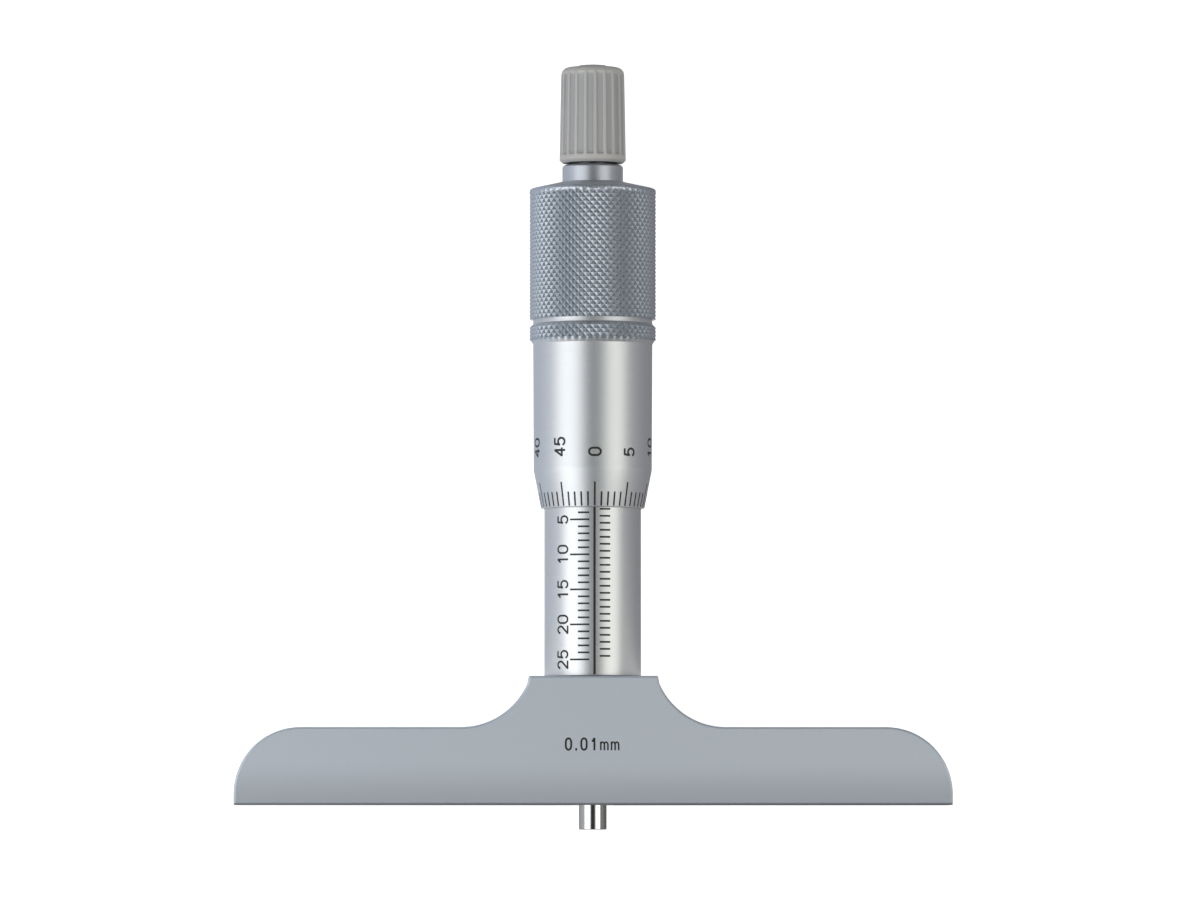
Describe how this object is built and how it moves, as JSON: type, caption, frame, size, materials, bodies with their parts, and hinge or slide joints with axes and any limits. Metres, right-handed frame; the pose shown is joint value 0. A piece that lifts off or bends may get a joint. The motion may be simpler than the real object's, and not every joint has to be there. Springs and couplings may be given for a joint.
{
  "type": "depth micrometer",
  "caption": "Depth micrometer: T-shaped steel base, graduated sleeve, knurled thimble on a 0.5 mm screw, ratchet knob, and a rod that passes down through the measuring face.",
  "frame": {"origin": "where the rod's axis meets the measuring face of the base", "axes": "+Y along the rod's axis towards the ratchet knob, +X along the base, +Z out of the graduated front, which looks up as the instrument lies on its back"},
  "size_m": [0.1024, 0.1099, 0.0182],
  "materials": {
    "satin_plating": "satin, faintly blue grey",
    "satin_chrome": "satin chrome",
    "shank_steel": "fine turned",
    "ground_steel": "ground and lapped bright",
    "bare_steel": "turned",
    "spring_steel": "drawn wire",
    "grey_plastic": "moulded, slightly warm grey"
  },
  "bodies": {
    "base": {"base": "satin_plating", "inner_sleeve": "bare_steel", "adjusting_nut": "bare_steel"},
    "sleeve": {"outer_sleeve": "satin_chrome"},
    "spindle": {"spindle": "ground_steel"},
    "thimble": {"thimble": "satin_chrome", "ratchet_body": "shank_steel", "ratchet_screw": "bare_steel"},
    "knob": {"ratchet_knob": "grey_plastic", "knob_plug": "grey_plastic", "spring_washer": "bare_steel", "ratchet_spring": "spring_steel"},
    "clutch": {"clutch_ring": "bare_steel"}
  },
  "joints": [
    {"name": "spindle_feed", "type": "slide", "parent": "base", "child": "spindle", "axis": [0, -1, 0], "range_m": [-0.0035, 0.0215]},
    {"name": "thimble_turn", "type": "hinge", "parent": "spindle", "child": "thimble", "pos_m": [0, 0.07, 0], "axis": [0, -1, 0], "range_deg": [-2520, 15480]},
    {"name": "ratchet_slip", "type": "hinge", "parent": "thimble", "child": "knob", "pos_m": [0, 0.1, 0], "axis": [0, -1, 0], "continuous": true},
    {"name": "clutch_lift", "type": "slide", "parent": "knob", "child": "clutch", "axis": [0, 1, 0], "range_m": [0, 0.0005], "stiffness_N_per_m": 800, "springref_m": -0.001, "deforming": ["ratchet_spring"]},
    {"name": "sleeve_zero_set", "type": "hinge", "parent": "base", "child": "sleeve", "pos_m": [0, 0.03, 0], "axis": [0, -1, 0], "range_deg": [-15, 15]}
  ],
  "couplings": [
    {"joint": "thimble_turn", "follows": "spindle_feed", "rad_per_m": 12566}
  ]
}
